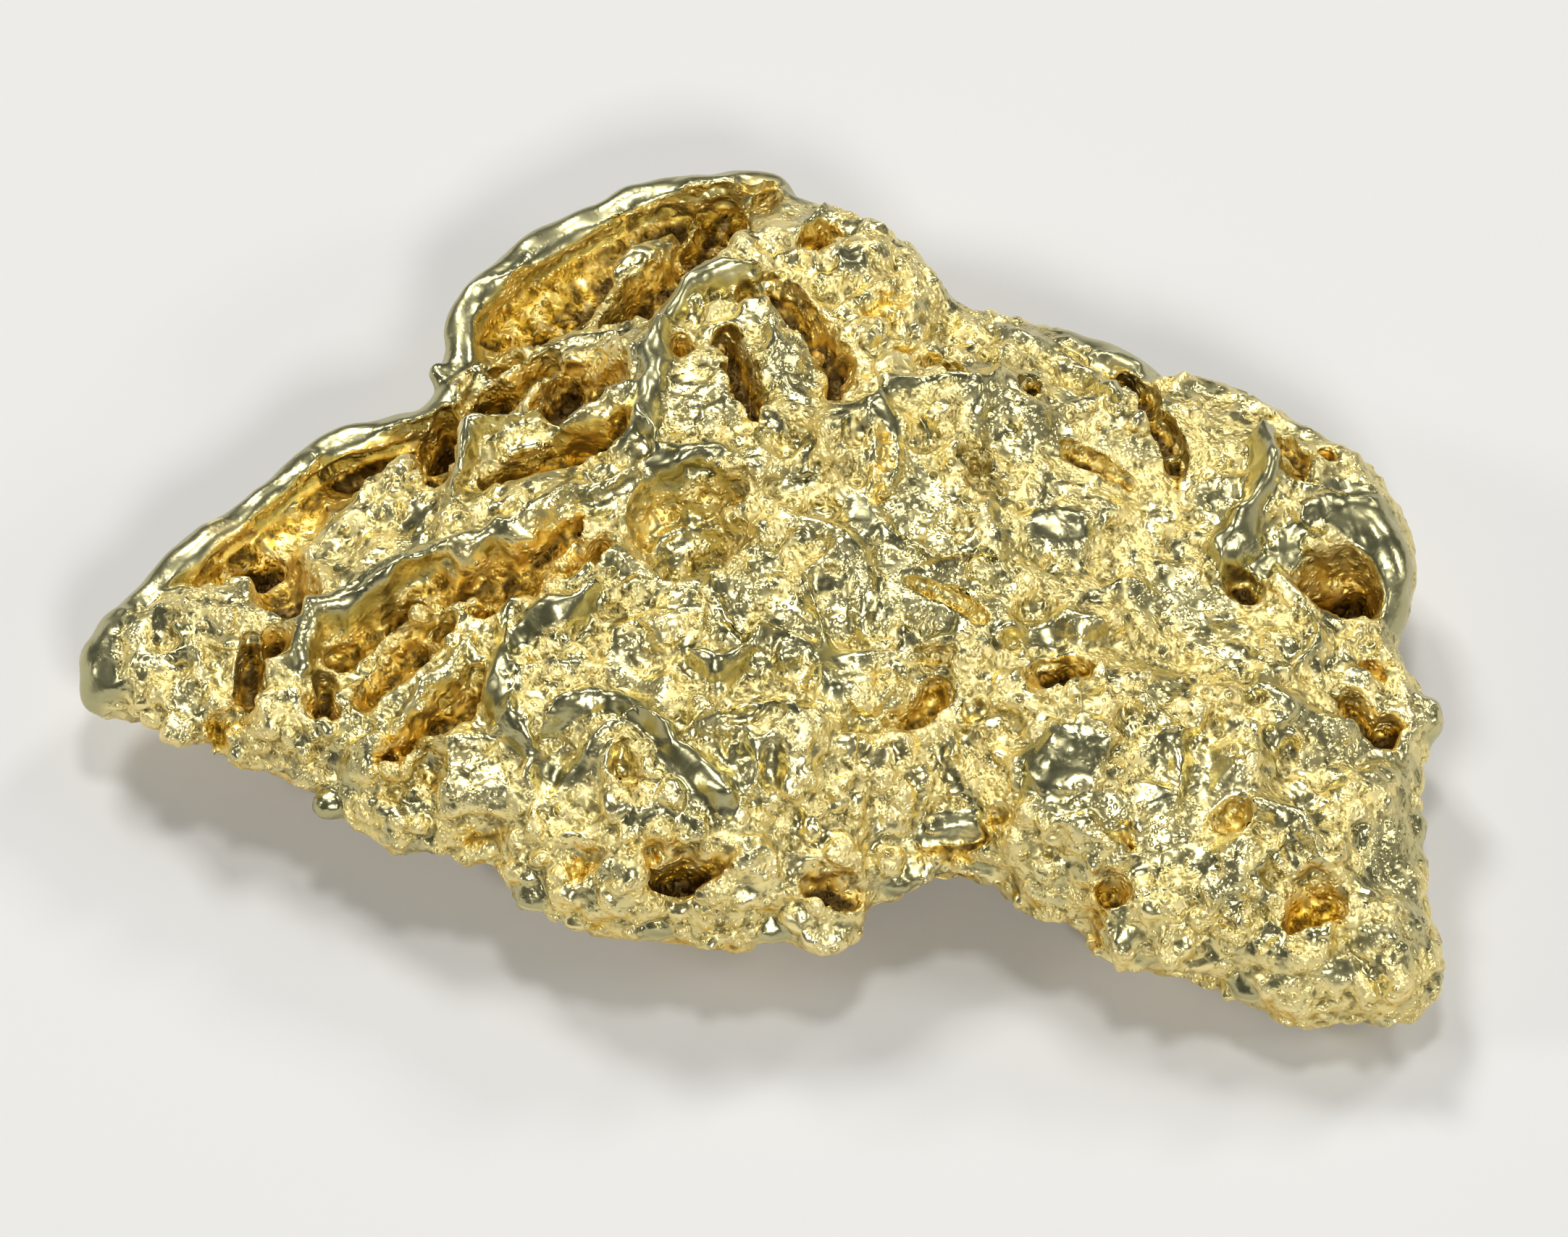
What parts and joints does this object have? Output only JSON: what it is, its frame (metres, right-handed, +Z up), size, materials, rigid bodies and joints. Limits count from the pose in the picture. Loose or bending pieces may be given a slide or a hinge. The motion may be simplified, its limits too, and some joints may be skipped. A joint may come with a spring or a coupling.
{
  "type": "gold nugget",
  "caption": "Flattened, lumpy nugget of native gold with rolled rims, ropy ridges, grooves and deep pits, resting on worn spots of its belly.",
  "frame": {"origin": "on the resting surface, under the middle of the nugget's bounding box", "axes": "+X along the nugget's length, from its pointed end to its broad end; +Y across it, towards the summit of its far rim; +Z up, out of its upper face"},
  "size_m": [0.012, 0.0086, 0.0026],
  "materials": {
    "gold": "worn native gold, satin with polished ridges, orange iron stain in the pits"
  },
  "bodies": {
    "root": {"nugget": "gold"}
  },
  "joints": []
}
